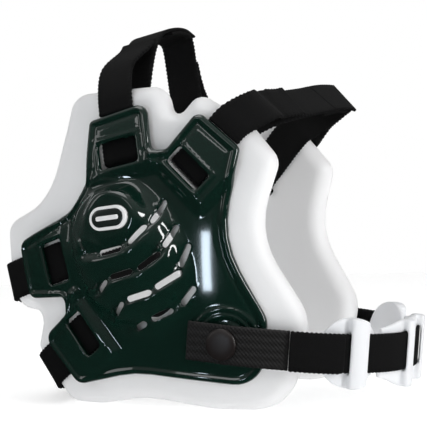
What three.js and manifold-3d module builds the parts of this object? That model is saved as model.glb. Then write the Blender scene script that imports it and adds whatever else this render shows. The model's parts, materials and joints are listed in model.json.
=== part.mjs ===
// Wrestling headgear: two moulded ear guards on foam pads, joined by crown, front and
// rear hook-and-loop straps, with a press-stud chin strap that carries a soft chin cup.
// Millimetres. +X is the way the face looks, -Y the wearer's right, +Z up. The headgear
// stands on its two pads at z = 0.
import * as THREE from 'three';
import { mergeVertices } from 'three/addons/utils/BufferGeometryUtils.js';
import Module from 'manifold-3d';

const wasm = await Module();
wasm.setup();

// ---- driving dimensions -------------------------------------------------------------
const CENTRE_SHIFT = 0.05;       // moves the ear line so that the whole is centred on X = 0
const EAR_SPAN = 132;            // over the two pads' outer faces, at the ears
const GUARD_RADIUS = 300;        // curve of a guard round the head, front to back
const GUARD_RADIUS_UP = 400;     // curve of a guard up and down
const GUARD_MID_Z = 73;          // height at which a guard stands straight up

const PAD_THICKNESS = 16;
const PAD_EDGE_ROUND = 7;
const SHELL_THICKNESS = 2.2;
const CLEARANCE = 0.3;           // between pieces that touch

const DOME_CENTRE = [-20.5, 78.5];
const DOME_HALF_LONG = 43;
const DOME_HALF_SHORT = 31;
const DOME_TILT = -60 * Math.PI / 180;
const DOME_HEIGHT = 13;
const EAR_HOLE_SCALE = 0.8;      // the pad's ear hole, as a share of the dome's footprint

const BADGE_CENTRE = [-23, 98];
const BADGE_LENGTH = 20.5;
const BADGE_HEIGHT = 12;
const BADGE_TILT = 5 * Math.PI / 180;
const BADGE_SEAT = 14.2;
const BADGE_THICKNESS = 1.5;

const STRAP_WIDTH = 21;
const STRAP_THICKNESS = 1.8;
const STRAP_RIDE = 1.25;         // centre of a strap lying on a pad's outer face
const STRAP_RIDE_INSIDE = 1.65;  // the same on the hollow inner face
const LAYER_PITCH = 2.2;         // centre to centre of two straps fastened together
const TAIL_PITCH = 2.4;          // the same for a tail folded back on its strap
const SLOT_LENGTH = 23.8;
const SLOT_WIDTH = 4;
const WINDOW_LENGTH = 22.6;
const LUG_LIFT = 2.8;            // room under a lug's bar for the strap

const SNAP = [30.7, 34.8];       // snap axis, along Y through both guards
const SNAP_SEAT = 66.4;          // flat seat on the shell, from the mid-plane
const SNAP_SEAT_RADIUS = 9;
const STUD_HOLE_RADIUS = 2.1;

const CHIN_TILT = 6 * Math.PI / 180;   // the chin strap runs down towards the chin
const CHIN_WIDTH = 19.5;
const CHIN_OUT = 69.4;           // chin strap's centre at the snaps, from the mid-plane
const CHIN_ARC_RADIUS = 65;
const CHIN_ARC_CENTRE = 15.5;    // in front of the snap axis
const TAB_REAR = -18.5;
const TAB_FRONT = 32;
const SEAM_GAP = 0.4;

// Corners [s, z, round]: s runs forward along the guard, z is height.
const PAD_OUTLINE = [
  [2, 145, 5], [15, 160.5, 7], [43, 143.5, 16], [59, 124, 9], [47, 88, 70], [72.5, 46, 22],
  [60, 0, 26], [20, 0, 30], [-18, 5, 60], [-48, 0, 20], [-67.5, 0, 10], [-89, 29.5, 6],
  [-82, 48, 5], [-101.5, 50.5, 8], [-109, 76, 14], [-110.5, 98, 9], [-76, 110, 34],
  [-66, 146, 40], [-62, 166, 10], [-4, 166, 12],
];
const SHELL_OUTLINE = [
  [-43, 149, 3], [-45, 107, 30], [-90.5, 86.5, 6], [-83.5, 56.5, 5], [-58.5, 57.5, 3.5],
  [-58.5, 48.5, 4], [-74.5, 36, 6], [-53.5, 11.5, 7], [-20, 19, 60], [47.5, 12.5, 16],
  [52, 46, 12], [31, 86, 50], [40.5, 130, 3.5], [18.5, 150, 4.5], [2.5, 131.5, 4],
  [-6, 131.5, 4], [-10, 156.5, 6],
];

// Cooling vents: centre line ends [s, z], in four rows that curl round the dome.
const VENT_WIDTH = 3;
const VENTS = [
  [[-27.5, 80.5], [-18, 82.5]], [[-12, 86], [-6, 92.5]], [[-2.5, 96], [1, 104.5]],
  [[-30, 62], [-26.5, 65.5]], [[-22, 68.5], [-12.5, 71]], [[-7, 73], [1, 79]],
  [[4, 84], [7.5, 92]], [[-23, 50], [-19, 54.5]], [[-14, 57.5], [-4, 60.5]],
  [[0.5, 63.5], [9.5, 69.5]], [[10.5, 74], [13.5, 82.5]], [[-14, 42.5], [-10, 44.5]],
  [[-4, 47.5], [4, 51]], [[10.5, 55], [15.5, 61.5]],
];

// Each strap: its lug's window, the way it runs from there (degrees), and its free route
// over the head. "over" is the right half, which lies on top; "under" is the left half.
const STRAPS = {
  crown: {
    window: [-25, 131.3], halfHeight: 6.8, angle: 100, lugEdge: 21.5, padEdge: 34,
    crossWidth: [0.985, 0, 0.17], tipWidth: [0.985, 0.02, 0.17],
    over: [[-28.3, -34, 177], [-27.8, -29.5, 188], [-28.3, -20, 197], [-30.5, 0, 203.5],
      [-33.5, 25, 207.5], [-36.5, 44, 207.5]],
    under: [[-31.5, 38, 178], [-33.5, 38.5, 192], [-34, 37, 200.5], [-34, 34, 204.6]],
    tailRoute: [[-33, -46.5, 178]],
    overlap: [29, -8], tabFrom: 2, tailJoin: [0.19, 0.24], leftTailJoin: [0.3, 0.55],
  },
  front: {
    window: [13.9, 121.5], halfHeight: 5.3, angle: 45, lugEdge: 24, padEdge: 34,
    crossWidth: [0.77, 0.05, -0.64], tipWidth: [0.66, 0.1, -0.74],
    over: [[45, -35, 150.5], [54, -23.5, 154], [60.6, -5, 157.6], [65.2, 15, 161.2],
      [67.8, 28, 162.4], [68.8, 35, 162.6]],
    under: [[47, 42.5, 153], [57, 41, 159], [62, 37.5, 161.3], [64.6, 33, 161.6]],
    tailRoute: [[49.5, -50, 151.8]],
    overlap: [25, -5], tabFrom: 2, tailJoin: [0.18, 0.32], leftTailJoin: [0.42, 0.6],
    leftTailRoute: [[43.5, -50, 148.6]],
  },
  rear_upper: {
    window: [-64.2, 76], halfHeight: 6.8, angle: 196, lugEdge: 24, padEdge: 35.5, wrapEdge: 43.3,
    crossWidth: [-0.06, 0, 0.998], tipWidth: [-0.06, 0, 0.998],
    over: [[-99, -29.4, 63.8], [-106.5, -21, 62], [-112, -8, 60.8], [-113.5, 4, 60.2],
      [-113.1, 15, 60.2]],
    under: [[-97.8, 30.2, 64], [-104, 24.8, 62.1], [-108.1, 18, 61]],
    tailRoute: [[-107.3, -32.5, 62.6]],
    overlap: [10, -12], tabFrom: -6, tailJoin: [0.38, 0.49], leftTailJoin: [0.5, 0.75],
  },
  rear_lower: {
    window: [-47.7, 38.9], halfHeight: 5.3, angle: 216, lugEdge: 23.5, padEdge: 32, wrapEdge: 38.8,
    crossWidth: [-0.5, 0, 0.866], tipWidth: [-0.5, 0, 0.866],
    over: [[-74, -32.8, 16.6], [-79, -23.5, 14.2], [-82.2, -8, 12.6], [-83, 5, 12.2],
      [-82.6, 15, 12.2]],
    under: [[-73, 33.3, 17], [-77.2, 27.5, 14.8], [-79.4, 19, 13.2]],
    tailRoute: [[-80.6, -36.8, 14.8]],
    overlap: [10, -12], tabFrom: -6, tailJoin: [0.38, 0.49], leftTailJoin: [0.5, 0.75],
  },
};

const MATERIALS = {
  shell: new THREE.MeshStandardMaterial({ color: 0x0c211a, roughness: 0.16, metalness: 0 }),
  foam: new THREE.MeshStandardMaterial({ color: 0xe9e9ea, roughness: 0.75, metalness: 0 }),
  strap: new THREE.MeshStandardMaterial({ color: 0x0b0b0c, roughness: 0.9, metalness: 0 }),
  webbing: new THREE.MeshStandardMaterial({ color: 0x121112, roughness: 0.85, metalness: 0 }),
  cap: new THREE.MeshStandardMaterial({ color: 0x1f1a1a, roughness: 0.45, metalness: 0 }),
  metal: new THREE.MeshStandardMaterial({ color: 0x9a9da0, roughness: 0.35, metalness: 1 }),
  cup: new THREE.MeshStandardMaterial({ color: 0xeef0f2, roughness: 0.4, metalness: 0 }),
  badge: new THREE.MeshStandardMaterial({ color: 0xf2f2f2, roughness: 0.3, metalness: 0 }),
};

// ---- the guard's curved surface -----------------------------------------------------
// s forward along the guard, z up, n outward from the pad's outer face.
// side is -1 for the wearer's right guard and +1 for the left one.
function guardPoint(s, z, n, side = -1) {
  const turn = s / GUARD_RADIUS;
  const lean = (z - GUARD_MID_Z) ** 2 / (2 * GUARD_RADIUS_UP);
  const out = EAR_SPAN / 2 - GUARD_RADIUS + (GUARD_RADIUS + n) * Math.cos(turn) - lean;
  const x = (GUARD_RADIUS + n) * Math.sin(turn) + CENTRE_SHIFT;
  return new THREE.Vector3(x, side * out, z);
}

// The n at which the right guard's surface point (s, z) is `out` from the mid-plane.
function nAtDistance(s, z, out) {
  const lean = (z - GUARD_MID_Z) ** 2 / (2 * GUARD_RADIUS_UP);
  const reach = out - EAR_SPAN / 2 + GUARD_RADIUS + lean;
  return reach / Math.cos(s / GUARD_RADIUS) - GUARD_RADIUS;
}

const smooth = (low, high, v) => THREE.MathUtils.smoothstep(v, low, high);
const mix = THREE.MathUtils.lerp;

function domeRadius(s, z) {
  const [cs, cz] = DOME_CENTRE;
  const along = (s - cs) * Math.cos(DOME_TILT) + (z - cz) * Math.sin(DOME_TILT);
  const across = -(s - cs) * Math.sin(DOME_TILT) + (z - cz) * Math.cos(DOME_TILT);
  return Math.hypot(along / DOME_HALF_LONG, across / DOME_HALF_SHORT);
}

// Strap coordinates at a lug: q outward along the strap, w across it.
function lugCoordinates(strap, s, z) {
  const angle = strap.angle * Math.PI / 180;
  const ds = s - strap.window[0];
  const dz = z - strap.window[1];
  return [ds * Math.cos(angle) + dz * Math.sin(angle), -ds * Math.sin(angle) + dz * Math.cos(angle)];
}

function lugPoint(strap, q, w) {
  const angle = strap.angle * Math.PI / 180;
  return [strap.window[0] + q * Math.cos(angle) - w * Math.sin(angle),
    strap.window[1] + q * Math.sin(angle) + w * Math.cos(angle)];
}

// Outer face of the shell, as n: flat sheet, lifted lugs, ear dome, badge and snap seats.
function shellOuter(s, z) {
  let n = CLEARANCE + SHELL_THICKNESS;
  for (const strap of Object.values(STRAPS)) {
    const [q, w] = lugCoordinates(strap, s, z);
    n += LUG_LIFT * smooth(-strap.halfHeight - 9, -strap.halfHeight - 2, q)
      * (1 - smooth(18, 23, Math.abs(w))) * (1 - smooth(30, 36, q));
  }
  const r = domeRadius(s, z);
  if (r < 1) n += DOME_HEIGHT * (1 - r ** 3);
  const fromBadge = Math.hypot(s - BADGE_CENTRE[0], z - BADGE_CENTRE[1]);
  n = mix(BADGE_SEAT, n, smooth(12, 18, fromBadge));
  const fromSnap = Math.hypot(s - SNAP[0], z - SNAP[1]);
  const seat = nAtDistance(s, z, SNAP_SEAT);
  return mix(seat, n, smooth(SNAP_SEAT_RADIUS, SNAP_SEAT_RADIUS + 4, fromSnap));
}

// ---- outlines and solids ------------------------------------------------------------
// A closed outline from corners [a, b, round], each round cut as an arc.
function roundedOutline(corners, arcStep = 0.45) {
  const path = [];
  const count = corners.length;
  for (let i = 0; i < count; i++) {
    const corner = new THREE.Vector2(corners[i][0], corners[i][1]);
    const before = new THREE.Vector2(...corners[(i + count - 1) % count].slice(0, 2)).sub(corner);
    const after = new THREE.Vector2(...corners[(i + 1) % count].slice(0, 2)).sub(corner);
    const half = before.angleTo(after) / 2;
    const room = Math.min(before.length(), after.length()) * 0.49;
    const reach = Math.min(corners[i][2] / Math.tan(half), room);
    const radius = reach * Math.tan(half);
    const start = corner.clone().addScaledVector(before.normalize(), reach);
    const end = corner.clone().addScaledVector(after.normalize(), reach);
    const middle = before.clone().add(after).normalize();
    const centre = corner.clone().addScaledVector(middle, radius / Math.sin(half));
    const from = Math.atan2(start.y - centre.y, start.x - centre.x);
    let sweep = Math.atan2(end.y - centre.y, end.x - centre.x) - from;
    sweep -= Math.round(sweep / (2 * Math.PI)) * 2 * Math.PI;
    const steps = Math.max(2, Math.ceil(Math.abs(sweep) / arcStep));
    for (let k = 0; k <= steps; k++) {
      const a = from + sweep * k / steps;
      path.push(new THREE.Vector2(centre.x + radius * Math.cos(a), centre.y + radius * Math.sin(a)));
    }
  }
  return path;
}

// Evenly turned samples of a closed outline, as seen from a point inside it.
function outlineByAngle(outline, centre, count) {
  const points = [];
  for (let i = 0; i < count; i++) {
    const a = 2 * Math.PI * i / count;
    const ray = new THREE.Vector2(Math.cos(a), Math.sin(a));
    let far = 0;
    for (let k = 0; k < outline.length; k++) {
      const p = outline[k].clone().sub(centre);
      const q = outline[(k + 1) % outline.length].clone().sub(centre);
      const edge = q.clone().sub(p);
      const det = ray.x * edge.y - ray.y * edge.x;
      if (Math.abs(det) < 1e-9) continue;
      const along = (p.x * edge.y - p.y * edge.x) / det;
      const share = (p.x * ray.y - p.y * ray.x) / det;
      if (along > far && share >= 0 && share <= 1) far = along;
    }
    points.push({ ray, far });
  }
  return points;
}

function geometryFrom(points, triangles) {
  const geometry = new THREE.BufferGeometry();
  geometry.setAttribute('position', new THREE.Float32BufferAttribute(points.flatMap((p) => p.toArray()), 3));
  geometry.setIndex(triangles.flat());
  return geometry;
}

// Rings of equally many points, joined one to the next; the ends are closed by fans,
// or joined to each other when `loop` is set.
function loft(rings, loop = false) {
  const size = rings[0].length;
  const points = rings.flat();
  const triangles = [];
  const last = loop ? rings.length : rings.length - 1;
  for (let r = 0; r < last; r++) {
    const a = r * size;
    const b = ((r + 1) % rings.length) * size;
    for (let i = 0; i < size; i++) {
      const j = (i + 1) % size;
      triangles.push([a + i, a + j, b + j], [a + i, b + j, b + i]);
    }
  }
  if (!loop) {
    const end = (rings.length - 1) * size;
    for (let i = 1; i < size - 1; i++) {
      triangles.push([0, i + 1, i], [end, end + i, end + i + 1]);
    }
  }
  return geometryFrom(points, triangles);
}

function toSolid(geometry) {
  let bare = geometry.clone();
  bare.deleteAttribute('normal');
  bare.deleteAttribute('uv');
  bare = mergeVertices(bare, 1e-4);
  const vertProperties = new Float32Array(bare.attributes.position.array);
  const triVerts = new Uint32Array(bare.index.array);
  return new wasm.Manifold(new wasm.Mesh({ numProp: 3, vertProperties, triVerts }));
}

function fromSolid(solid) {
  const mesh = solid.getMesh();
  const geometry = new THREE.BufferGeometry();
  geometry.setAttribute('position', new THREE.Float32BufferAttribute(mesh.vertProperties, 3));
  geometry.setIndex([...mesh.triVerts]);
  return geometry;
}

// An outline raised through the guard's thickness from n = low to n = high.
function guardPrism(outline, low, high) {
  const geometry = new THREE.ExtrudeGeometry(new THREE.Shape(outline), { depth: 1, bevelEnabled: false });
  const position = geometry.attributes.position;
  for (let i = 0; i < position.count; i++) {
    const n = position.getZ(i) < 0.5 ? low : high;
    // The right guard looks along -Y, so the outline's own right-hand order is kept.
    const p = guardPoint(position.getX(i), position.getY(i), n);
    position.setXYZ(i, p.x, p.y, p.z);
  }
  return geometry;
}

// A slot with round ends between two points of the guard.
function slotOutline([s0, z0], [s1, z1], width, endSteps = 4) {
  const along = Math.atan2(z1 - z0, s1 - s0);
  const points = [];
  for (const [s, z, start] of [[s1, z1, along - Math.PI / 2], [s0, z0, along + Math.PI / 2]]) {
    for (let k = 0; k <= endSteps; k++) {
      const a = start + Math.PI * k / endSteps;
      points.push(new THREE.Vector2(s + width / 2 * Math.cos(a), z + width / 2 * Math.sin(a)));
    }
  }
  return points;
}

function lugRectangle(strap, qLow, qHigh, length, round) {
  const corners = [[qLow, -length / 2], [qHigh, -length / 2], [qHigh, length / 2], [qLow, length / 2]];
  return roundedOutline(corners.map(([q, w]) => [...lugPoint(strap, q, w), round]), 0.9);
}

function cylinderAlongY(radius, nearY, farY, segments = 20) {
  const geometry = new THREE.CylinderGeometry(radius, radius, farY - nearY, segments);
  geometry.translate(SNAP[0] + CENTRE_SHIFT, (nearY + farY) / 2, SNAP[1]);
  return geometry;
}

// A turned piece on the right snap's axis. Profile [radius, distance from the mid-plane].
function turnedOnSnapAxis(profile, segments = 18) {
  const geometry = new THREE.LatheGeometry(profile.map(([r, out]) => new THREE.Vector2(r, out)), segments);
  geometry.rotateX(Math.PI);
  geometry.translate(SNAP[0] + CENTRE_SHIFT, 0, SNAP[1]);
  return cleaned(geometry);
}

// Joins doubled points and drops triangles that have no area.
function cleaned(geometry) {
  let bare = geometry.clone();
  bare.deleteAttribute('normal');
  bare.deleteAttribute('uv');
  bare = mergeVertices(bare, 1e-4);
  const index = bare.index.array;
  const kept = [];
  for (let i = 0; i < index.length; i += 3) {
    const [a, b, c] = [index[i], index[i + 1], index[i + 2]];
    if (a !== b && b !== c && c !== a) kept.push(a, b, c);
  }
  bare.setIndex(kept);
  return bare;
}

function named(name, geometry, material) {
  const mesh = new THREE.Mesh(geometry, MATERIALS[material]);
  mesh.name = name;
  return mesh;
}

// ---- ear guard ----------------------------------------------------------------------
const slotMiddle = (strap) => -strap.halfHeight + 2.2;

function padGeometry() {
  const centre = new THREE.Vector2(...DOME_CENTRE);
  const outline = outlineByAngle(roundedOutline(PAD_OUTLINE), centre, 64);
  const holeRadius = (a) => {
    const turn = a - DOME_TILT;
    return EAR_HOLE_SCALE / Math.hypot(Math.cos(turn) / DOME_HALF_LONG, Math.sin(turn) / DOME_HALF_SHORT);
  };
  const round = PAD_EDGE_ROUND;
  const back = -PAD_THICKNESS;
  // Section round the pad's band: share of the way from hole to edge, inset, n.
  const section = [
    [0, -2, 0], [0.4, 0, 0], [1, round, 0], [1, round * 0.3, -round * 0.3], [1, 0, -round],
    [1, 0, back + round], [1, round * 0.3, back + round * 0.3], [1, round, back],
    [0.6, 0, back], [0.3, 0, back], [0, -2, back], [0, 0, back + 2], [0, 0, -2],
  ].reverse();
  const rings = section.map(([share, inset, n]) => outline.map(({ ray, far }, i) => {
    const hole = holeRadius(2 * Math.PI * i / outline.length);
    const reach = mix(hole, far, share) - inset;
    return guardPoint(centre.x + ray.x * reach, centre.y + ray.y * reach, n);
  }));
  let solid = toSolid(loft(rings, true));
  for (const strap of Object.values(STRAPS)) {
    const q = slotMiddle(strap);
    const slot = lugRectangle(strap, q - SLOT_WIDTH / 2, q + SLOT_WIDTH / 2, SLOT_LENGTH, 0.8);
    solid = solid.subtract(toSolid(guardPrism(slot, back - 6, 6)));
  }
  const pocket = cylinderAlongY(7, -EAR_SPAN / 2 - 4, -61.9);
  return fromSolid(solid.subtract(toSolid(pocket)));
}

function shellGeometry() {
  const cells = 18;
  const [sLow, sHigh, zLow, zHigh] = [-95, 56, 8, 160];
  const outer = [];
  const inner = [];
  for (let i = 0; i <= cells; i++) {
    for (let k = 0; k <= cells; k++) {
      const s = mix(sLow, sHigh, i / cells);
      const z = mix(zLow, zHigh, k / cells);
      outer.push(guardPoint(s, z, shellOuter(s, z)));
      inner.push(guardPoint(s, z, shellOuter(s, z) - SHELL_THICKNESS));
    }
  }
  const at = (i, k) => i * (cells + 1) + k;
  const back = outer.length;
  const triangles = [];
  for (let i = 0; i < cells; i++) {
    for (let k = 0; k < cells; k++) {
      const [a, b, c, d] = [at(i, k), at(i + 1, k), at(i + 1, k + 1), at(i, k + 1)];
      triangles.push([a, b, c], [a, c, d], [back + a, back + c, back + b], [back + a, back + d, back + c]);
    }
  }
  for (let k = 0; k < cells; k++) {
    const rim = [[at(k, 0), at(k + 1, 0)], [at(cells, k), at(cells, k + 1)],
      [at(k + 1, cells), at(k, cells)], [at(0, k + 1), at(0, k)]];
    for (const [a, b] of rim) triangles.push([a, back + a, back + b], [a, back + b, b]);
  }
  let solid = toSolid(geometryFrom([...outer, ...inner], triangles));
  solid = solid.intersect(toSolid(guardPrism(roundedOutline(SHELL_OUTLINE), -6, 32)));
  for (const strap of Object.values(STRAPS)) {
    const window = lugRectangle(strap, -strap.halfHeight, strap.halfHeight, WINDOW_LENGTH, 2);
    solid = solid.subtract(toSolid(guardPrism(window, -6, 32)));
  }
  for (const [from, to] of VENTS) {
    solid = solid.subtract(toSolid(guardPrism(slotOutline(from, to, VENT_WIDTH, 2), -6, 32)));
  }
  return fromSolid(solid.subtract(toSolid(cylinderAlongY(STUD_HOLE_RADIUS, -80, -50, 12))));
}

function badgeGeometry() {
  const half = (BADGE_LENGTH - BADGE_HEIGHT) / 2;
  const ends = [-half, half].map((d) => [BADGE_CENTRE[0] + d * Math.cos(BADGE_TILT),
    BADGE_CENTRE[1] + d * Math.sin(BADGE_TILT)]);
  const low = BADGE_SEAT + CLEARANCE + 0.1;
  return cleaned(guardPrism(slotOutline(ends[0], ends[1], BADGE_HEIGHT, 6), low, low + BADGE_THICKNESS));
}

const studProfile = [[0, 62.2], [1.7, 62.2], [1.7, 66.7], [5, 66.7], [5, 67.1], [2.5, 67.1],
  [2.9, 67.4], [2.5, 67.7], [0, 67.7]];
const washerProfile = [[2.1, 62.4], [6, 62.4], [6, 63.2], [2.1, 63.2], [2.1, 62.4]];
const socketProfile = [[0, 67.95], [3.3, 67.95], [3.3, 67.35], [5.6, 67.35], [5.6, 68.2],
  [0, 68.2]];
const capProfile = [[0, 68.45], [2, 68.45], [2, 70.6], [7.5, 70.6], [7.8, 71.1], [6.6, 72.4],
  [4.6, 73], [0, 73]];

function guardGroup(sideName, side) {
  const group = new THREE.Group();
  group.scale.y = -side;
  group.add(named(`${sideName}_pad`, padGeometry(), 'foam'));
  group.add(named(`${sideName}_shell`, shellGeometry(), 'shell'));
  group.add(named(`${sideName}_badge`, badgeGeometry(), 'badge'));
  group.add(named(`${sideName}_snap_stud`, turnedOnSnapAxis(studProfile), 'metal'));
  group.add(named(`${sideName}_snap_washer`, turnedOnSnapAxis(washerProfile), 'metal'));
  return group;
}

// ---- straps -------------------------------------------------------------------------
// A flat band through stations { p, w }: centre point and direction across the band.
function band(stations, width, thickness) {
  const rings = stations.map(({ p, w }, i) => {
    const before = stations[Math.max(i - 1, 0)].p;
    const after = stations[Math.min(i + 1, stations.length - 1)].p;
    const along = after.clone().sub(before).normalize();
    const across = w.clone().addScaledVector(along, -w.dot(along)).normalize();
    const face = along.clone().cross(across);
    across.multiplyScalar(width / 2);
    face.multiplyScalar(thickness / 2);
    const corner = (a, f) => p.clone().addScaledVector(across, a).addScaledVector(face, f);
    return [corner(-1, -1), corner(1, -1), corner(1, 1), corner(-1, 1)];
  });
  return loft(rings);
}

function guardStation(strap, q, n, side) {
  const place = (w) => guardPoint(...lugPoint(strap, q, w), n, side);
  return { p: place(0), w: place(1).sub(place(-1)).normalize() };
}

// Smooth stations through given ones; points and directions are both interpolated.
function smoothStations(stations, step) {
  const places = new THREE.CatmullRomCurve3(stations.map((t) => t.p), false, 'centripetal');
  const count = Math.max(2, Math.round(places.getLength() / step));
  const result = [];
  for (let i = 0; i <= count; i++) {
    const t = places.getUtoTmapping(i / count) * (stations.length - 1);
    const k = Math.min(Math.floor(t), stations.length - 2);
    const w = stations[k].w.clone().lerp(stations[k + 1].w, t - k).normalize();
    result.push({ p: places.getPoint(t / (stations.length - 1)), w });
  }
  return result;
}

// The part of a strap half held by its guard: down the pad's inner face, out through the
// pad's slot and under the lug's bar.
function heldStations(strap, side) {
  const bend = 2.5;
  const back = -PAD_THICKNESS;
  const middle = slotMiddle(strap);
  const stations = [];
  for (let q = strap.padEdge; q > middle + bend + 2; q -= 7) {
    stations.push(guardStation(strap, q, back - STRAP_RIDE_INSIDE, side));
  }
  const turns = [[back - STRAP_RIDE_INSIDE + bend, -90, -180], [STRAP_RIDE - bend, 180, 90]];
  for (const [n, from, to] of turns) {
    for (let k = 0; k <= 4; k++) {
      const a = mix(from, to, k / 4) * Math.PI / 180;
      stations.push(guardStation(strap, middle + bend + bend * Math.cos(a), n + bend * Math.sin(a), side));
    }
  }
  stations.push(guardStation(strap, (middle + strap.lugEdge) / 2, STRAP_RIDE, side));
  stations.push(guardStation(strap, strap.lugEdge, STRAP_RIDE, side));
  return stations;
}

const vector = (v) => new THREE.Vector3(...v);
const shifted = (v) => new THREE.Vector3(v[0] + CENTRE_SHIFT, v[1], v[2]);

// Stations moved along the band's own face, away from the head or towards it.
function offsetStations(stations, distance) {
  const headCentre = new THREE.Vector3(CENTRE_SHIFT - 15, 0, 95);
  return stations.map(({ p, w }, i) => {
    const before = stations[Math.max(i - 1, 0)].p;
    const after = stations[Math.min(i + 1, stations.length - 1)].p;
    const face = after.clone().sub(before).cross(w).normalize();
    if (face.dot(p.clone().sub(headCentre)) < 0) face.negate();
    return { p: p.clone().addScaledVector(face, distance), w: w.clone() };
  });
}

function spanStations(strap, route, side, endWidth) {
  const inner = -PAD_THICKNESS - STRAP_RIDE_INSIDE;
  const edge = guardStation(strap, strap.padEdge, inner, side);
  const inside = guardStation(strap, strap.padEdge - 6, inner, side);
  const cross = vector(strap.crossWidth).normalize();
  if (cross.dot(edge.w) < 0) cross.negate();
  const tip = vector(endWidth).normalize();
  if (tip.dot(edge.w) < 0) tip.negate();
  const free = route.map((point, i) => {
    const share = (i + 1) / route.length;
    const w = share < 0.5 ? edge.w.clone().lerp(cross, share * 2) : cross.clone().lerp(tip, share * 2 - 1);
    return { p: shifted(point), w: w.normalize() };
  });
  const stations = smoothStations([inside, edge, ...free], 5);
  return stations.filter((t) => t.p.distanceTo(inside.p) > edge.p.distanceTo(inside.p) - 1);
}

function strapMeshes(name, strap) {
  const over = spanStations(strap, strap.over, -1, strap.tipWidth);
  const tabStart = over.findIndex((t) => t.p.y > strap.tabFrom);
  const heldRight = heldStations(strap, -1).slice(1);
  const right = [...over.slice(0, tabStart + 1).reverse(), ...heldRight];

  const seam = over[tabStart + 1].p.clone().sub(over[tabStart].p).setLength(SEAM_GAP);
  const tab = over.slice(tabStart);
  tab[0] = { p: tab[0].p.clone().add(seam), w: tab[0].w };

  const [underFrom, underTo] = strap.overlap;
  const beneath = offsetStations(over, -LAYER_PITCH)
    .filter((t) => t.p.y < underFrom && t.p.y > underTo).reverse();
  const rise = spanStations(strap, strap.under, 1, strap.crossWidth);
  const turn = smoothStations([rise[rise.length - 2], rise[rise.length - 1], ...beneath], 4);
  const left = [...turn.reverse(), ...rise.slice(0, -2).reverse(), ...heldStations(strap, 1).slice(1)];

  const meshes = [
    named(`right_${name}_strap`, band(right, STRAP_WIDTH, STRAP_THICKNESS), 'strap'),
    named(`left_${name}_strap`, band(left, STRAP_WIDTH, STRAP_THICKNESS), 'strap'),
    named(`${name}_tab`, band(tab, STRAP_WIDTH, STRAP_THICKNESS), 'strap'),
  ];
  const joins = [['right', -1, over, strap.tailJoin], ['left', 1, rise, strap.leftTailJoin]];
  for (const [sideName, side, span, [from, to]] of joins) {
    meshes.push(named(`${sideName}_${name}_tail`, tailGeometry(name, strap, side, span, from, to), 'strap'));
  }
  return meshes;
}

// The outer tail: over the pad's edge from the lug, then fastened on its own strap.
function tailGeometry(name, strap, side, span, from, to) {
  const start = strap.lugEdge + SEAM_GAP;
  const stations = [guardStation(strap, start, STRAP_RIDE, side)];
    if (strap.wrapEdge) {
    // Rolled over the pad's rounded edge.
    const roll = PAD_EDGE_ROUND + STRAP_RIDE + 0.35;
    for (const degrees of [90, 62, 34, 6]) {
      const a = degrees * Math.PI / 180;
      const q = strap.wrapEdge - PAD_EDGE_ROUND + roll * Math.cos(a);
      stations.push(guardStation(strap, q, -PAD_EDGE_ROUND + roll * Math.sin(a), side));
    }
  } else {
    stations.push(guardStation(strap, strap.padEdge - 2, STRAP_RIDE, side));
  }
  const first = Math.round(span.length * from);
  const joined = offsetStations(span, TAIL_PITCH).slice(first, Math.round(span.length * to) + 1);
  // It comes down on to the strap over its first few millimetres.
  joined[0] = offsetStations(span, TAIL_PITCH + 1.8)[first];
  joined[1] = offsetStations(span, TAIL_PITCH + 0.9)[first + 1];
  const last = stations[stations.length - 1];
  for (const t of joined) if (t.w.dot(last.w) < 0) t.w.negate();
  const route = side > 0 && strap.leftTailRoute ? strap.leftTailRoute : strap.tailRoute;
  for (const [x, y, z] of route) {
    const w = last.w.clone().lerp(joined[0].w, 0.85).normalize();
    stations.push({ p: shifted([x, -side * y, z]), w });
  }
  return band(smoothStations([...stations, ...joined], 4), STRAP_WIDTH, STRAP_THICKNESS);
}

// ---- chin strap ---------------------------------------------------------------------
// Its own frame: origin on the snap axis, d forward, h up, tilted down by CHIN_TILT.
function chinRun(d) {
  const past = Math.max(d - 5, 0);
  return -CHIN_OUT + 0.1449 * past + 0.003341 * past ** 2;
}

const up = new THREE.Vector3(0, 0, 1);

function arcPoint(degrees, radius, h = 0) {
  const a = degrees * Math.PI / 180;
  return new THREE.Vector3(CHIN_ARC_CENTRE + radius * Math.cos(a), -radius * Math.sin(a), h);
}

// A plate bent round the chin: angle columns, height from low(angle) to high(angle).
function chinPlate(fromDegrees, toDegrees, columns, rows, innerRadius, outerRadius, low, high) {
  const rings = [];
  for (let c = 0; c <= columns; c++) {
    const angle = mix(fromDegrees, toDegrees, c / columns);
    const ring = [];
    for (let r = 0; r <= rows; r++) {
      ring.push(arcPoint(angle, innerRadius, mix(low(angle), high(angle), r / rows)));
    }
    for (let r = rows; r >= 0; r--) {
      ring.push(arcPoint(angle, outerRadius, mix(low(angle), high(angle), r / rows)));
    }
    rings.push(ring);
  }
  return loft(rings);
}

const LOBE_ANGLE = 47.9;
const LOBE_RADIUS = 17.4;
const LOBE_REACH = 15.4;         // degrees each side of the lobe's middle
const WAIST_ANGLE = 32.3;

// Half-heights of the chin cup: round lobes at the ends, a waist, a flared middle.
function cupEdge(angle, middleHeight, waistHeight) {
  const a = Math.abs(angle);
  const fromLobe = (a - LOBE_ANGLE) / 180 * Math.PI * CHIN_ARC_RADIUS;
  const lobe = Math.sqrt(Math.max(LOBE_RADIUS ** 2 - fromLobe ** 2, 0.6));
  const flare = mix(middleHeight, waistHeight, smooth(12, WAIST_ANGLE, a));
  return a > WAIST_ANGLE ? Math.max(lobe, 2.5) : Math.max(flare, lobe);
}
const cupTop = (angle) => cupEdge(angle, 15.8, 12);
const cupBottom = (angle) => -cupEdge(angle, 18.6, 13);

const CUP_BARS = [[8.8, 15.7], [40.5, 49.4]];

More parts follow.
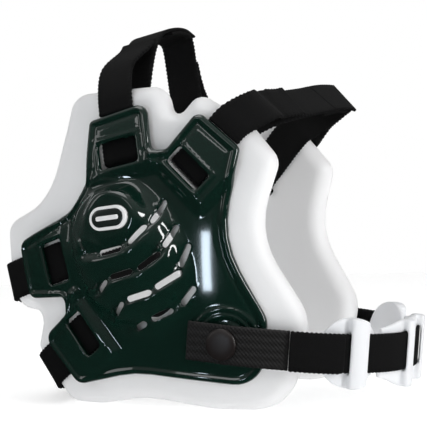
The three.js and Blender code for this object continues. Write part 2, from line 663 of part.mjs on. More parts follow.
function cupGeometry() {
  const inner = CHIN_ARC_RADIUS - 3.8;
  const skin = CHIN_ARC_RADIUS - 1.35;
  const outer = CHIN_ARC_RADIUS + 3.4;
  const reach = LOBE_ANGLE + LOBE_REACH;
  let solid = toSolid(chinPlate(reach, -reach, 32, 2, inner, skin, cupBottom, cupTop));
  for (const [from, to] of CUP_BARS) {
    for (const side of [-1, 1]) {
      const [a, b] = side > 0 ? [to, from] : [-from, -to];
      const bar = chinPlate(a, b, 3, 1, inner + 1, outer, cupBottom, cupTop);
      solid = solid.add(toSolid(bar));
    }
  }
  const half = CHIN_WIDTH / 2 + 0.5;
  const channel = chinPlate(reach + 3, -reach - 3, 32, 1, skin - 0.05, CHIN_ARC_RADIUS + 1.35,
    () => -half, () => half);
  return fromSolid(solid.subtract(toSolid(channel)));
}

function chinBandGeometry() {
  const stations = [];
  for (const d of [TAB_FRONT + SEAM_GAP, 35]) {
    stations.push({ p: new THREE.Vector3(d, chinRun(d), 0), w: up });
  }
  const start = Math.acos((37.7 - CHIN_ARC_CENTRE) / CHIN_ARC_RADIUS) * 180 / Math.PI;
  for (let k = 0; k <= 36; k++) {
    stations.push({ p: arcPoint(mix(start, -start, k / 36), CHIN_ARC_RADIUS), w: up });
  }
  const mirrored = stations.slice(0, 2).reverse();
  for (const { p } of mirrored) stations.push({ p: new THREE.Vector3(p.x, -p.y, 0), w: up });
  return band(stations, CHIN_WIDTH, STRAP_THICKNESS);
}

function snapTabGeometry() {
  const stations = [];
  for (const d of [TAB_REAR, -8, 4, 8, 13, 19, 25, TAB_FRONT]) {
    stations.push({ p: new THREE.Vector3(d, chinRun(d), 0), w: up });
  }
  const hole = new THREE.CylinderGeometry(2.3, 2.3, 8, 16);
  hole.translate(0, -CHIN_OUT, 0);
  return fromSolid(toSolid(band(stations, CHIN_WIDTH, STRAP_THICKNESS)).subtract(toSolid(hole)));
}

function chinGroup() {
  const group = new THREE.Group();
  group.position.set(SNAP[0] + CENTRE_SHIFT, 0, SNAP[1]);
  group.rotation.y = CHIN_TILT;
  group.add(named('chin_band', chinBandGeometry(), 'strap'));
  group.add(named('chin_cup', cupGeometry(), 'cup'));
  for (const [sideName, side] of [['right', -1], ['left', 1]]) {
    const half = new THREE.Group();
    half.scale.y = -side;
    half.add(named(`${sideName}_snap_tab`, snapTabGeometry(), 'webbing'));
    group.add(half);
  }
  return group;
}

function snapTopGroup(sideName, side) {
  const group = new THREE.Group();
  group.scale.y = -side;
  group.add(named(`${sideName}_snap_socket`, turnedOnSnapAxis(socketProfile), 'metal'));
  group.add(named(`${sideName}_snap_cap`, turnedOnSnapAxis(capProfile), 'cap'));
  return group;
}

// ---- assembly -----------------------------------------------------------------------
const headgear = new THREE.Group();
for (const [sideName, side] of [['right', -1], ['left', 1]]) {
  headgear.add(guardGroup(sideName, side));
  headgear.add(snapTopGroup(sideName, side));
}
for (const [name, strap] of Object.entries(STRAPS)) headgear.add(...strapMeshes(name, strap));
headgear.add(chinGroup());

export default headgear;
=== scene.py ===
"""Wrestling headgear: moulded ear guards on foam pads, hook-and-loop straps, chin cup.

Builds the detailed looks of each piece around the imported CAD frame, in metres. Shapes
are worked out in millimetres in the guard's own flat coordinates: s runs forward along
the guard, z is height and n is outward from the pad's outer face. +X is the way the
face looks and -Y is the wearer's right.
"""
import json
import math

import bpy
import numpy as np
from mathutils import Matrix, Vector
from mathutils.geometry import delaunay_2d_cdt


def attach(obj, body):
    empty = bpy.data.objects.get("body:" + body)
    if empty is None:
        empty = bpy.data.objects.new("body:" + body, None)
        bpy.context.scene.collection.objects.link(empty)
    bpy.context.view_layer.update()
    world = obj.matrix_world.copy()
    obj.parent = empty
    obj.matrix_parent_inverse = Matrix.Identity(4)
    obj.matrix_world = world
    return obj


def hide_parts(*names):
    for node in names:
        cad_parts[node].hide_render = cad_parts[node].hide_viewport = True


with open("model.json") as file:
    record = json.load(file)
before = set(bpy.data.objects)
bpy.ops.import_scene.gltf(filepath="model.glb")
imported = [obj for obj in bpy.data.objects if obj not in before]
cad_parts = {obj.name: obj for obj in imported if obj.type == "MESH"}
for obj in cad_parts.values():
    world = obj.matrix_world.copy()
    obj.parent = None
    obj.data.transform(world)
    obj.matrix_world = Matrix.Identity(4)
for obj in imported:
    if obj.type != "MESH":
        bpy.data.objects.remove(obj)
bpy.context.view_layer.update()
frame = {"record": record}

MM = 0.001
JOINTS = {joint["name"]: joint for joint in frame["record"]["behaviour"]["joints"]}

# ---- driving dimensions, in millimetres -------------------------------------------
EAR_SPAN = 132
GUARD_RADIUS = 300
GUARD_RADIUS_UP = 400
GUARD_MID_Z = 73
PAD_THICKNESS = 16
PAD_EDGE_ROUND = 7
PAD_VISIBLE_ROUND = 7.8
SHELL_THICKNESS = 2.2
CLEARANCE = 0.3
SNAP = np.array([30.7, 34.8])
CENTRE_SHIFT = JOINTS["chin_swing"]["pos_m"][0] / MM - SNAP[0]
SIDES = (("right", -1), ("left", 1))

DOME_CENTRE = np.array([-20.5, 78.5])
DOME_HALF_LONG = 43
DOME_HALF_SHORT = 31
DOME_TILT = math.radians(-60)
DOME_HEIGHT = 13
EAR_HOLE_SCALE = 0.8
BADGE_CENTRE = np.array([-23, 98])
BADGE_LENGTH = 20.5
BADGE_HEIGHT = 12
BADGE_TILT = math.radians(5)
BADGE_SEAT = 14.2

STRAP_WIDTH = 21
STRAP_THICKNESS = 1.8
STRAP_RIDE = 1.25
STRAP_RIDE_INSIDE = 1.65
LAYER_PITCH = 2.2
TAIL_PITCH = 2.4
SLOT_LENGTH = 23.8
SLOT_WIDTH = 4
SLOT_SETBACK = 2.2
SLOT_ROUND = 1.2
WINDOW_LENGTH = 22.6
SCALLOP_PITCH = 2.25
LUG_LIFT = 2.8
SNAP_SEAT = 66.4
SNAP_SEAT_RADIUS = 9
RIDGE_HEIGHT = 1.5
RIM_BEAD = 0.75
RIM_BEAD_SWEPT = 0.7
STRAP_SWEEP = SNAP + [16.3, 17.4]
SNAP_RINGS = [(1.0, 13.6), (0.9, 16.8)]
DOME_MEAN_RADIUS = 36

CHIN_TILT = math.radians(6)
CHIN_WIDTH = 19.5
CHIN_OUT = 69.4
CHIN_ARC_RADIUS = 65
CHIN_ARC_CENTRE = 15.5
TAB_REAR = -18.5
TAB_FRONT = 32
SEAM_GAP = 0.4
BAND_GAP = 0.15
LOBE_ANGLE = 47.9
LOBE_RADIUS = 17.4
LOBE_REACH = 15.4
WAIST_ANGLE = 32.3
CUP_BARS = [(8.8, 15.7), (40.5, 49.4)]
# The doubled strap end: from the webbing forward, then round to an angle short of the cup.
OVERLAY_START = 32.8
OVERLAY_END = 51.9
OVERLAY_OUT = 1.8
CHIN_STRAIGHT = 35
CHIN_MEET_X = 37.7
CUP_COLUMNS = 140

PAD_OUTLINE = [
    (2, 145, 5), (15, 160.5, 7), (43, 143.5, 16), (59, 124, 9), (47, 88, 70),
    (72.5, 46, 22), (60, 0, 26), (20, 0, 30), (-18, 5, 60), (-48, 0, 20),
    (-67.5, 0, 10), (-89, 29.5, 6), (-82, 48, 5), (-101.5, 50.5, 8), (-109, 76, 14),
    (-110.5, 98, 9), (-76, 110, 34), (-66, 146, 40), (-62, 166, 10), (-4, 166, 12),
]
SHELL_OUTLINE = [
    (-43, 149, 3), (-45, 107, 30), (-90.5, 86.5, 6), (-83.5, 56.5, 5), (-58.5, 57.5, 3.5),
    (-58.5, 48.5, 4), (-74.5, 36, 6), (-53.5, 11.5, 7), (-20, 19, 60), (47.5, 12.5, 16),
    (52, 46, 12), (31, 86, 50), (40.5, 130, 3.5), (18.5, 150, 4.5), (2.5, 131.5, 4),
    (-6, 131.5, 4), (-10, 156.5, 6),
]
# Four rows of cooling vents, each row a curl round the dome.
VENT_WIDTH = 3
VENT_ROWS = [
    [((-27.5, 80.5), (-18, 82.5)), ((-12, 86), (-6, 92.5)), ((-2.5, 96), (1, 104.5))],
    [((-30, 62), (-26.5, 65.5)), ((-22, 68.5), (-12.5, 71)), ((-7, 73), (1, 79)),
     ((4, 84), (7.5, 92))],
    [((-23, 50), (-19, 54.5)), ((-14, 57.5), (-4, 60.5)), ((0.5, 63.5), (9.5, 69.5)),
     ((10.5, 74), (13.5, 82.5))],
    [((-14, 42.5), (-10, 44.5)), ((-4, 47.5), (4, 51)), ((10.5, 55), (15.5, 61.5))],
]

STRAPS = {
    "crown": dict(
        window=(-25, 131.3), half_height=6.8, angle=100, lug_edge=21.5, pad_edge=34,
        cross_width=(0.985, 0, 0.17), tip_width=(0.985, 0.02, 0.17),
        over=[(-28.3, -34, 177), (-27.8, -29.5, 188), (-28.3, -20, 197),
              (-30.5, 0, 203.5), (-33.5, 25, 207.5), (-36.5, 44, 207.5)],
        under=[(-31.5, 38, 178), (-33.5, 38.5, 192), (-34, 37, 200.5), (-34, 34, 204.6)],
        tail_route=[(-33, -46.5, 178)], overlap=(29, -8), tab_from=2,
        tail_join=(0.19, 0.24), left_tail_join=(0.3, 0.55)),
    "front": dict(
        window=(13.9, 121.5), half_height=5.3, angle=45, lug_edge=24, pad_edge=34,
        cross_width=(0.77, 0.05, -0.64), tip_width=(0.66, 0.1, -0.74),
        over=[(45, -35, 150.5), (54, -23.5, 154), (60.6, -5, 157.6), (65.2, 15, 161.2),
              (67.8, 28, 162.4), (68.8, 35, 162.6)],
        under=[(47, 42.5, 153), (57, 41, 159), (62, 37.5, 161.3), (64.6, 33, 161.6)],
        tail_route=[(49.5, -50, 151.8)], left_tail_route=[(43.5, -50, 148.6)],
        overlap=(25, -5), tab_from=2,
        tail_join=(0.18, 0.32), left_tail_join=(0.42, 0.6)),
    "rear_upper": dict(
        window=(-64.2, 76), half_height=6.8, angle=196, lug_edge=24, pad_edge=35.5,
        wrap_edge=43.3, cross_width=(-0.06, 0, 0.998), tip_width=(-0.06, 0, 0.998),
        over=[(-99, -29.4, 63.8), (-106.5, -21, 62), (-112, -8, 60.8),
              (-113.5, 4, 60.2), (-113.1, 15, 60.2)],
        under=[(-97.8, 30.2, 64), (-104, 24.8, 62.1), (-108.1, 18, 61)],
        tail_route=[(-107.3, -32.5, 62.6)], overlap=(10, -12), tab_from=-6,
        tail_join=(0.38, 0.49), left_tail_join=(0.5, 0.75)),
    "rear_lower": dict(
        window=(-47.7, 38.9), half_height=5.3, angle=216, lug_edge=23.5, pad_edge=32,
        wrap_edge=38.8, cross_width=(-0.5, 0, 0.866), tip_width=(-0.5, 0, 0.866),
        over=[(-74, -32.8, 16.6), (-79, -23.5, 14.2), (-82.2, -8, 12.6),
              (-83, 5, 12.2), (-82.6, 15, 12.2)],
        under=[(-73, 33.3, 17), (-77.2, 27.5, 14.8), (-79.4, 19, 13.2)],
        tail_route=[(-80.6, -36.8, 14.8)], overlap=(10, -12), tab_from=-6,
        tail_join=(0.38, 0.49), left_tail_join=(0.5, 0.75)),
}


# ---- the guard's curved surface ---------------------------------------------------
def guard_point(s, z, n, side=-1):
    """A place in millimetres, from forward, up and outward on the guard of that side."""
    turn = np.asarray(s) / GUARD_RADIUS
    lean = (np.asarray(z) - GUARD_MID_Z) ** 2 / (2 * GUARD_RADIUS_UP)
    out = EAR_SPAN / 2 - GUARD_RADIUS + (GUARD_RADIUS + n) * np.cos(turn) - lean
    x = (GUARD_RADIUS + n) * np.sin(turn) + CENTRE_SHIFT
    return np.stack(np.broadcast_arrays(x, side * out, z), -1)


def n_at_distance(s, z, out):
    """How far out from the pad a place is that lies `out` from the mid-plane."""
    lean = (z - GUARD_MID_Z) ** 2 / (2 * GUARD_RADIUS_UP)
    return (out - EAR_SPAN / 2 + GUARD_RADIUS + lean) / np.cos(s / GUARD_RADIUS) - GUARD_RADIUS


def smooth(low, high, v):
    """0 below low, 1 above high and an even slope between."""
    t = np.clip((v - low) / (high - low), 0, 1)
    return t * t * (3 - 2 * t)


def mix(a, b, t):
    return a + (b - a) * t


def bump(distance, width):
    """1 at no distance, falling off over about the width."""
    return np.exp(-(distance / width) ** 2)


def dome_radius(s, z):
    """0 at the dome's centre and 1 on its elliptical foot."""
    ds, dz = s - DOME_CENTRE[0], z - DOME_CENTRE[1]
    along = ds * math.cos(DOME_TILT) + dz * math.sin(DOME_TILT)
    across = -ds * math.sin(DOME_TILT) + dz * math.cos(DOME_TILT)
    return np.hypot(along / DOME_HALF_LONG, across / DOME_HALF_SHORT)


def lug_coordinates(strap, s, z):
    """Along the strap and across it, from the middle of its lug's window."""
    angle = math.radians(strap["angle"])
    ds, dz = s - strap["window"][0], z - strap["window"][1]
    return ds * math.cos(angle) + dz * math.sin(angle), -ds * math.sin(angle) + dz * math.cos(angle)


def lug_point(strap, q, w):
    """The reverse of lug_coordinates."""
    angle = math.radians(strap["angle"])
    return (strap["window"][0] + q * math.cos(angle) - w * math.sin(angle),
            strap["window"][1] + q * math.sin(angle) + w * math.cos(angle))


def shell_base(s, z):
    """Outer face of the plain shell: flat sheet, lifted lugs, ear dome and two seats."""
    n = np.full(len(s), CLEARANCE + SHELL_THICKNESS)
    for strap in STRAPS.values():
        q, w = lug_coordinates(strap, s, z)
        half = strap["half_height"]
        n += (LUG_LIFT * smooth(-half - 9, -half - 2, q)
              * (1 - smooth(18, 23, np.abs(w))) * (1 - smooth(30, 36, q)))
    r = dome_radius(s, z)
    n += DOME_HEIGHT * np.clip(1 - r ** 3, 0, None)
    from_badge = np.hypot(s - BADGE_CENTRE[0], z - BADGE_CENTRE[1])
    n = mix(BADGE_SEAT, n, smooth(12, 18, from_badge))
    from_snap = np.hypot(s - SNAP[0], z - SNAP[1])
    return mix(n_at_distance(s, z, SNAP_SEAT), n, smooth(SNAP_SEAT_RADIUS, SNAP_SEAT_RADIUS + 4, from_snap))


def row_curve(row):
    """A vent row's centre line, run on a little past both ends."""
    points = [np.array(p, float) for vent in row for p in vent]
    lead = points[0] + (points[0] - points[1]) * 0.9 + np.array([-1.0, 1.5])
    trail = points[-1] + (points[-1] - points[-2]) * 1.1 + np.array([-1.5, 0.5])
    return catmull_rom([np.append(p, 0) for p in [lead, *points, trail]], 0.8)[0][:, :2]


def vent_ridges(s, z):
    """Each vent row lies in a valley, with a ridge close under it that falls to the next."""
    here = np.stack([s, z], -1)
    curves = [row_curve(row) for row in VENT_ROWS]
    far = np.array([distance_to_line(here, curve) for curve in curves])
    above = inside_loop(here, np.vstack([curves[0], [(60, 220), (-130, 220)]]))
    below = inside_loop(here, np.vstack([curves[-1], [(60, -60), (-130, -60)]]))
    nearest = np.argsort(far, 0)
    upper = np.minimum(np.minimum(nearest[0], nearest[1]), len(curves) - 2)
    pick = np.arange(len(s))
    share = far[upper, pick] / (far[upper, pick] + far[upper + 1, pick])
    share = np.where(below, np.minimum(far[-1] / 13, 1), share)
    wave = -np.cos(2 * math.pi * share ** 0.6)
    wave = np.where(above, -bump(far[0], 4), wave)
    return RIDGE_HEIGHT * wave * np.where(below, bump(far[-1], 10), bump(far.min(0), 12))


def shell_relief(s, z, from_rim):
    """Moulded detail over the plain shell: rim bead, dome rings, vent ridges, lug frames.

    The rim bead is lower at STRAP_SWEEP, where the raised chin strap passes over it.
    """
    swept = bump(np.hypot(s - STRAP_SWEEP[0], z - STRAP_SWEEP[1]), 7)
    bead = RIM_BEAD * bump(from_rim - 2.0, 1.0) * (1 - RIM_BEAD_SWEPT * swept)
    n = bead - 0.5 * bump(from_rim - 4.6, 1.1)
    r = dome_radius(s, z)
    from_badge = np.hypot(s - BADGE_CENTRE[0], z - BADGE_CENTRE[1])
    n += 0.9 * bump((r - 1.0) * DOME_MEAN_RADIUS, 1.7) - 0.7 * bump((r - 0.89) * DOME_MEAN_RADIUS, 1.6)
    rear_side = smooth(4, 30, -(s - DOME_CENTRE[0]) + 0.4 * (z - DOME_CENTRE[1]))
    n += 0.55 * bump((r - 0.8) * DOME_MEAN_RADIUS, 1.5) * rear_side
    n += vent_ridges(s, z) * (1 - smooth(0.88, 1.04, r)) * smooth(9, 13, from_badge)
    from_snap = np.hypot(s - SNAP[0], z - SNAP[1])
    rings = sum(height * bump(from_snap - radius, 1.1) for height, radius in SNAP_RINGS)
    n += rings * smooth(-13, -6, z - SNAP[1])
    for strap in STRAPS.values():
        q, w = lug_coordinates(strap, s, z)
        outside = np.maximum(np.abs(q) - strap["half_height"], np.abs(w) - WINDOW_LENGTH / 2)
        n += 0.45 * bump(outside - 1.6, 0.9)
    return n


# ---- flat sheets ------------------------------------------------------------------
def rounded_outline(corners, arc_step=0.18):
    """A loop through corners (s, z, radius), each turned with an arc of its radius."""
    path = []
    count = len(corners)
    for i, (a, b, radius) in enumerate(corners):
        corner = np.array([a, b], float)
        before = np.array(corners[i - 1][:2], float) - corner
        after = np.array(corners[(i + 1) % count][:2], float) - corner
        room = min(np.linalg.norm(before), np.linalg.norm(after)) * 0.49
        before /= np.linalg.norm(before)
        after /= np.linalg.norm(after)
        half = math.acos(np.clip(before @ after, -1, 1)) / 2
        reach = min(radius / math.tan(half), room)
        radius = reach * math.tan(half)
        start, end = corner + before * reach, corner + after * reach
        middle = (before + after) / np.linalg.norm(before + after)
        centre = corner + middle * radius / math.sin(half)
        first = math.atan2(*(start - centre)[::-1])
        sweep = math.atan2(*(end - centre)[::-1]) - first
        sweep -= round(sweep / (2 * math.pi)) * 2 * math.pi
        steps = max(2, math.ceil(abs(sweep) / arc_step))
        for k in range(steps + 1):
            angle = first + sweep * k / steps
            path.append(centre + radius * np.array([math.cos(angle), math.sin(angle)]))
    return np.array(path)


def ellipse_outline(centre, long_half, short_half, tilt, count=120):
    angle = np.arange(count) * 2 * math.pi / count
    a, b = long_half * np.cos(angle), short_half * np.sin(angle)
    return np.stack([centre[0] + a * math.cos(tilt) - b * math.sin(tilt),
                     centre[1] + a * math.sin(tilt) + b * math.cos(tilt)], -1)


def slot_outline(start, end, width, end_steps=8):
    along = math.atan2(end[1] - start[1], end[0] - start[0])
    path = []
    for centre, first in ((end, along - math.pi / 2), (start, along + math.pi / 2)):
        for k in range(end_steps + 1):
            angle = first + math.pi * k / end_steps
            path.append((centre[0] + width / 2 * math.cos(angle), centre[1] + width / 2 * math.sin(angle)))
    return np.array(path)


def lug_rectangle(strap, q_low, q_high, length, radius):
    corners = [(q_low, -length / 2), (q_high, -length / 2), (q_high, length / 2), (q_low, length / 2)]
    return rounded_outline([(*lug_point(strap, q, w), radius) for q, w in corners], 0.4)


def resampled(loop, step):
    closed = np.vstack([loop, loop[:1]])
    lengths = np.concatenate([[0], np.cumsum(np.linalg.norm(np.diff(closed, axis=0), axis=1))])
    count = max(10, round(lengths[-1] / step))
    t = np.arange(count) * lengths[-1] / count
    return np.stack([np.interp(t, lengths, closed[:, k]) for k in (0, 1)], -1)


def counter_clockwise(loop):
    x, y = loop[:, 0], loop[:, 1]
    area = np.sum(x * np.roll(y, -1) - np.roll(x, -1) * y)
    return loop if area > 0 else loop[::-1]


def distance_to_line(points, line, closed=False):
    """Each point's distance from a run of straight pieces."""
    a = line if closed else line[:-1]
    b = np.roll(line, -1, 0) if closed else line[1:]
    edge = b - a
    length2 = np.maximum((edge ** 2).sum(1), 1e-12)
    best = np.full(len(points), 1e9)
    for k in range(0, len(points), 4000):
        rel = points[k:k + 4000, None] - a[None]
        t = np.clip((rel * edge).sum(2) / length2, 0, 1)
        gap = rel - t[..., None] * edge
        best[k:k + 4000] = np.sqrt((gap ** 2).sum(2)).min(1)
    return best


def inside_loop(points, loop):
    """Whether each point is inside a closed loop, by counting crossings."""
    result = np.zeros(len(points), bool)
    for (x0, y0), (x1, y1) in zip(loop, np.roll(loop, -1, 0)):
        crosses = (y0 > points[:, 1]) != (y1 > points[:, 1])
        with np.errstate(divide="ignore", invalid="ignore"):
            at = (x1 - x0) * (points[:, 1] - y0) / (y1 - y0) + x0
        result ^= crosses & (points[:, 0] < at)
    return result


def flat_sheet(outline, holes, spacing, edge_rings, hole_rings):
    """Triangles over an outline with holes, with rings of points along every edge."""
    loops = [counter_clockwise(resampled(outline, spacing * 0.8))]
    loops += [counter_clockwise(resampled(hole, min(spacing * 0.8, 0.9))) for hole in holes]
    points, edges = [], []
    for loop in loops:
        first = len(points)
        points += list(loop)
        edges += [(first + i, first + (i + 1) % len(loop)) for i in range(len(loop))]

    def in_material(p):
        kept = inside_loop(p, loops[0])
        for hole in loops[1:]:
            kept &= ~inside_loop(p, hole)
        return kept

    def nearest(p):
        return np.min([distance_to_line(p, loop, True) for loop in loops], 0)

    for index, loop in enumerate(loops):
        rings = edge_rings if index == 0 else hole_rings
        tangent = np.roll(loop, -1, 0) - np.roll(loop, 1, 0)
        tangent /= np.linalg.norm(tangent, axis=1)[:, None]
        inward = np.stack([-tangent[:, 1], tangent[:, 0]], -1) * (1 if index == 0 else -1)
        for ring in rings:
            candidates = loop + inward * ring
            candidates = candidates[in_material(candidates)]
            candidates = candidates[nearest(candidates) > ring * 0.97]
            points += list(candidates)
    low, high = outline.min(0), outline.max(0)
    rows = np.arange(low[1], high[1], spacing * 0.866)
    grid = np.concatenate([
        np.stack([np.arange(low[0], high[0], spacing) + (k % 2) * spacing / 2,
                  np.full(len(np.arange(low[0], high[0], spacing)), z)], -1)
        for k, z in enumerate(rows)])
    grid = grid[in_material(grid)]
    clear = np.full(len(grid), True)
    for index, loop in enumerate(loops):
        last = (edge_rings if index == 0 else hole_rings)[-1]
        clear &= distance_to_line(grid, loop, True) > last + spacing * 0.5
    points += list(grid[clear])
    result = delaunay_2d_cdt([Vector(p) for p in points], edges, [], 1, 1e-6)
    flat = np.array([tuple(v) for v in result[0]])
    triangles = np.array([tuple(f) for f in result[2]])
    triangles = triangles[in_material(flat[triangles].mean(1))]
    return flat, triangles.tolist(), loops


def closed_plate(flat, triangles, outer, inner):
    """Outer and inner faces over the same flat triangles, joined along their edges."""
    count = len(flat)
    faces = []
    directed = set()
    for a, b, c in triangles:
        u, v = flat[b] - flat[a], flat[c] - flat[a]
        if u[0] * v[1] - u[1] * v[0] < 0:
            b, c = c, b
        faces.append((a, b, c))
        faces.append((a + count, c + count, b + count))
        directed |= {(a, b), (b, c), (c, a)}
    for a, b in directed:
        if (b, a) not in directed:
            faces.append((b, a, a + count, b + count))
    return np.concatenate([outer, inner]), faces


# ---- objects ----------------------------------------------------------------------
def add_object(name, vertices, faces, material, sharp=40):
    """A smooth-shaded mesh from vertices in millimetres."""
    mesh = bpy.data.meshes.new(name)
    mesh.from_pydata((np.asarray(vertices) * MM).tolist(), [], faces)
    mesh.validate()
    mesh.materials.append(material)
    mesh.shade_smooth()
    mesh.set_sharp_from_angle(angle=math.radians(sharp))
    obj = bpy.data.objects.new(name, mesh)
    bpy.context.collection.objects.link(obj)
    return obj


def placed(obj, body, slot, *nodes):
    """The piece rides on its CAD body and stands for CAD nodes, which it hides; slot is not used."""
    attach(obj, body)
    if nodes:
        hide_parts(*nodes)
    return obj


def ring_faces(rows, size, first=0, capped=True):
    """Quads between rings of points that follow one another, with a face over each end."""
    faces = []
    for r in range(rows - 1):
        for k in range(size):
            a, b = first + r * size + k, first + r * size + (k + 1) % size
            faces.append((a, b, b + size, a + size))
    if capped:
        faces.append(tuple(reversed(range(size))))
        faces.append(tuple(range((rows - 1) * size, rows * size)))
    return faces


def flipped_for(side, faces):
    """Faces for a guard on that side: the left one mirrors the right one."""
    return faces if side < 0 else [tuple(reversed(f)) for f in faces]


def add_plate(name, side, flat, triangles, outer_n, inner_n, look, sharp):
    """A plate bent to the guard's surface, between two distances out from the pad."""
    outer = guard_point(flat[:, 0], flat[:, 1], outer_n, side)
    inner = guard_point(flat[:, 0], flat[:, 1], inner_n, side)
    vertices, faces = closed_plate(flat, triangles, outer, inner)
    return add_object(name, vertices, flipped_for(side, faces), look, sharp)


# ---- materials --------------------------------------------------------------------
def material(name, color, roughness, **settings):
    mat = bpy.data.materials.new(name)
    mat.use_nodes = True
    shader = mat.node_tree.nodes["Principled BSDF"]
    shader.inputs["Base Color"].default_value = (*color, 1)
    shader.inputs["Roughness"].default_value = roughness
    for key, value in settings.items():
        shader.inputs[key.replace("_", " ")].default_value = value
    return mat


def add_bump(mat, texture, strength, distance, **inputs):
    """Fine relief from a procedural texture in the object's own coordinates."""
    tree = mat.node_tree
    place = tree.nodes.new("ShaderNodeTexCoord")
    node = tree.nodes.new(texture)
    for key, value in inputs.items():
        node.inputs[key].default_value = value
    relief = tree.nodes.new("ShaderNodeBump")
    relief.inputs["Strength"].default_value = strength
    relief.inputs["Distance"].default_value = distance
    tree.links.new(place.outputs["Object"], node.inputs["Vector"])
    height = node.outputs["Fac"] if "Fac" in node.outputs else node.outputs[0]
    tree.links.new(height, relief.inputs["Height"])
    tree.links.new(relief.outputs["Normal"], tree.nodes["Principled BSDF"].inputs["Normal"])


def make_materials():
    looks = {
        "shell": material("shell", (0.0025, 0.0145, 0.0098), 0.08, Coat_Weight=0.3, Coat_Roughness=0.03),
        "foam": material("foam", (0.86, 0.86, 0.865), 0.5),
        "strap": material("strap", (0.0025, 0.0025, 0.0027), 0.9, Specular_IOR_Level=0.25),
        "webbing": material("webbing", (0.007, 0.006, 0.0057), 0.6),
        "metal": material("metal", (0.55, 0.56, 0.57), 0.3, Metallic=1.0),
        "cap": material("cap", (0.012, 0.008, 0.0075), 0.38),
        "cup": material("cup", (0.8, 0.81, 0.83), 0.38, Subsurface_Weight=0.3,
                        Subsurface_Radius=(1, 1, 1), Subsurface_Scale=0.002),
        "badge": material("badge", (0.85, 0.85, 0.85), 0.25, Coat_Weight=0.4),
        "badge_dark": material("badge_dark", (0.006, 0.012, 0.01), 0.25, Coat_Weight=0.4),
    }
    add_bump(looks["foam"], "ShaderNodeTexNoise", 0.06, 0.0003, Scale=900, Detail=2)
    add_bump(looks["strap"], "ShaderNodeTexNoise", 0.7, 0.0005, Scale=2600, Detail=4)
    add_bump(looks["webbing"], "ShaderNodeTexNoise", 0.35, 0.0003, Scale=3500, Detail=2)
    return looks


LOOKS = make_materials()


# ---- pads -------------------------------------------------------------------------
def rounding(distance, radius):
    """How far a rounded edge has dropped, by the distance from that edge."""
    t = np.clip(1 - distance / radius, 0, 1)
    return radius * (1 - np.sqrt(1 - t * t))


def ring_steps(radius, count=7):
    return [radius * (1 - math.cos(math.pi / 2 * k / count)) for k in range(1, count + 1)]


def pad_plate():
    back = -PAD_THICKNESS
    ear = ellipse_outline(DOME_CENTRE, DOME_HALF_LONG * EAR_HOLE_SCALE,
                          DOME_HALF_SHORT * EAR_HOLE_SCALE, DOME_TILT)
    slots = []
    for strap in STRAPS.values():
        middle = -strap["half_height"] + SLOT_SETBACK
        slots.append(lug_rectangle(strap, middle - SLOT_WIDTH / 2, middle + SLOT_WIDTH / 2,
                                   SLOT_LENGTH, 0.8))
    flat, triangles, loops = flat_sheet(rounded_outline(PAD_OUTLINE), [ear, *slots], 3.0,
                                        ring_steps(PAD_VISIBLE_ROUND), ring_steps(SLOT_ROUND, 2))
    s, z = flat[:, 0], flat[:, 1]
    drop = rounding(distance_to_line(flat, loops[0], True), PAD_VISIBLE_ROUND)
    drop = np.maximum(drop, rounding(distance_to_line(flat, loops[1], True), 4))
    for loop in loops[2:]:
        drop = np.maximum(drop, rounding(distance_to_line(flat, loop, True), SLOT_ROUND))
    drop = np.maximum(drop, 1.6 * (1 - smooth(6, 8, np.hypot(s - SNAP[0], z - SNAP[1]))))
    puff = 0.25 * np.sin(s / 17 + 1) * np.sin(z / 23)
    return flat, triangles, -drop, back + drop + puff * smooth(0, 8, PAD_THICKNESS - 2 * drop)


def add_pads():
    flat, triangles, outer_n, inner_n = pad_plate()
    for name, side in SIDES:
        pad = add_plate(f"{name}_pad_foam", side, flat, triangles, outer_n, inner_n, LOOKS["foam"], 60)
        placed(pad, "guards", "foam", f"{name}_pad")


# ---- shells -----------------------------------------------------------------------
def shell_plate():
    windows = [lug_rectangle(strap, -strap["half_height"], strap["half_height"], WINDOW_LENGTH, 2)
               for strap in STRAPS.values()]
    vents = [slot_outline(start, end, VENT_WIDTH) for row in VENT_ROWS for start, end in row]
    flat, triangles, loops = flat_sheet(rounded_outline(SHELL_OUTLINE), windows + vents, 1.0,
                                        [0.3, 0.8, 1.4, 2.0, 2.7, 3.4, 4.1, 4.8, 5.5],
                                        [0.3, 0.8, 1.5, 2.2])
    s, z = flat[:, 0], flat[:, 1]
    from_rim = distance_to_line(flat, loops[0], True)
    from_hole = np.min([distance_to_line(flat, loop, True) for loop in loops[1:]], 0)
    base = shell_base(s, z)
    outer = base + shell_relief(s, z, from_rim)
    outer -= rounding(from_rim, 1.3) + rounding(from_hole, 0.8)
    return flat, triangles, outer, base - SHELL_THICKNESS


def add_shells():
    flat, triangles, outer_n, inner_n = shell_plate()
    for name, side in SIDES:
        shell = add_plate(f"{name}_shell_moulding", side, flat, triangles, outer_n, inner_n,
                          LOOKS["shell"], 50)
        placed(shell, "guards", "shell", f"{name}_shell")


def badge_ends(length, height):
    half = (length - height) / 2
    step = np.array([math.cos(BADGE_TILT), math.sin(BADGE_TILT)]) * half
    return BADGE_CENTRE - step, BADGE_CENTRE + step


def add_badge_layer(name, side, length, height, low, high, look, *nodes):
    start, end = badge_ends(length, height)
    flat, triangles, loops = flat_sheet(slot_outline(start, end, height, 20), [], 1.2, [0.15, 0.4], [0.4])
    drop = rounding(distance_to_line(flat, loops[0], True), 0.4)
    layer = add_plate(name, side, flat, triangles, high - drop, low, LOOKS[look], 50)
    placed(layer, "guards", "badge", *nodes)


